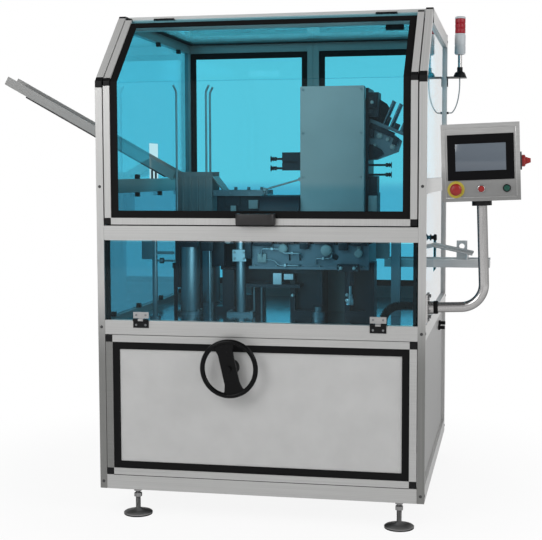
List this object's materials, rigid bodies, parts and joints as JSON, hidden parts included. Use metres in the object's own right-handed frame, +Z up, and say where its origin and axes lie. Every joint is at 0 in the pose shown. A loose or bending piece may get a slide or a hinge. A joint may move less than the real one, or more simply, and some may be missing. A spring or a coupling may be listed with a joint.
{
  "type": "automatic cartoner",
  "caption": "Packing machine in an aluminium profile frame on levelling feet, with blue clear guards, a lift-up front door, infeed chute, outfeed tray and an operator panel on a pipe arm.",
  "frame": {"origin": "on the floor, at the middle of the overall plan", "axes": "+X along the front towards the operator panel, +Y from the front to the back, +Z up"},
  "size_m": [2.4498, 1.5088, 2.183],
  "materials": {
    "profile": "clear anodised, satin",
    "block": "black moulded, fine grain",
    "rubber": "matt black extrusion",
    "guard": "blue tinted acrylic, clear",
    "white_sheet": "white powder coat, satin",
    "stainless": "brushed stainless steel",
    "machined": "machined and ground steel",
    "grey_paint": "light grey powder coat",
    "dark_paint": "dark grey paint",
    "black_metal": "black powder coat",
    "wheel": "black duroplast, polished",
    "lamp_body": "pale grey plastic",
    "lamp_red": "red translucent plastic",
    "cable": "grey sheath",
    "screen": "black bezel and glass screen",
    "red": "red plastic",
    "green": "green plastic",
    "yellow": "yellow plastic"
  },
  "bodies": {
    "root": {"front_posts": "profile", "sloped_posts": "profile", "rear_posts": "profile", "front_beams": "profile", "side_beams": "profile", "rear_beams": "profile", "corner_blocks": "block", "levelling_feet": "stainless", "table_plate": "machined", "base_panels": "white_sheet", "base_front_frame": "profile", "panel_bands": "rubber", "side_panels": "guard", "rear_panels": "guard", "roof_panel": "guard", "panel_clips": "block", "flap_seals": "rubber", "hinge_bases": "block", "wheel_bearing": "black_metal", "panel_arm": "stainless", "arm_collar": "block", "tower_base": "block", "tower_body": "lamp_body", "tower_lens": "lamp_red", "tower_cable": "cable", "infeed_chute": "stainless", "chute_strip": "black_metal", "outfeed_tray": "stainless", "upper_table": "machined", "pillars": "machined", "machine_bed": "grey_paint", "bed_supports": "dark_paint", "product_magazine": "grey_paint", "magazine_rods": "machined", "infeed_conveyor": "stainless", "motor_cover": "dark_paint", "feeder_cover": "grey_paint", "suction_heads": "dark_paint", "carton_feeder": "dark_paint", "carton_magazine": "machined", "conduit": "rubber", "door_switch": "block"},
    "door": {"door_frame": "profile", "door_blocks": "block", "door_glass": "guard", "door_band": "rubber", "door_handle": "block", "door_hinges": "block"},
    "flap": {"flap_glass": "guard", "flap_hinges": "profile"},
    "handwheel": {"handwheel": "wheel"},
    "operator_box": {"panel_box": "stainless", "panel_display": "screen", "stop_plate": "yellow", "button_bezels": "block", "isolator_plate": "black_metal"},
    "isolator": {"isolator_knob": "red"},
    "mushroom": {"mushroom_button": "red"},
    "stop": {"stop_button": "red"},
    "start": {"start_button": "green"}
  },
  "joints": [
    {"name": "door_lift", "type": "hinge", "parent": "root", "child": "door", "pos_m": [0.1531, -0.34345, 2.077], "axis": [-1, 0, 0], "range_deg": [0, 70]},
    {"name": "flap_drop", "type": "hinge", "parent": "root", "child": "flap", "pos_m": [0.1531, -0.6955, 0.817], "axis": [1, 0, 0], "range_deg": [0, 90]},
    {"name": "handwheel_turn", "type": "hinge", "parent": "root", "child": "handwheel", "pos_m": [0.0461, -0.7385, 0.633], "axis": [0, -1, 0], "continuous": true},
    {"name": "operator_box_swivel", "type": "hinge", "parent": "root", "child": "operator_box", "pos_m": [1.03947, -0.6305, 1.30793], "axis": [-0.0349, 0, 0.9994], "range_deg": [-90, 90]},
    {"name": "isolator_turn", "type": "hinge", "parent": "operator_box", "child": "isolator", "pos_m": [1.18414, -0.6305, 1.46308], "axis": [0.9994, 0, 0.0349], "range_deg": [0, 90]},
    {"name": "mushroom_press", "type": "slide", "parent": "operator_box", "child": "mushroom", "axis": [0, 1, 0], "range_m": [0, 0.006]},
    {"name": "stop_press", "type": "slide", "parent": "operator_box", "child": "stop", "axis": [0, 1, 0], "range_m": [0, 0.003], "stiffness_N_per_m": 400},
    {"name": "start_press", "type": "slide", "parent": "operator_box", "child": "start", "axis": [0, 1, 0], "range_m": [0, 0.003], "stiffness_N_per_m": 400}
  ]
}
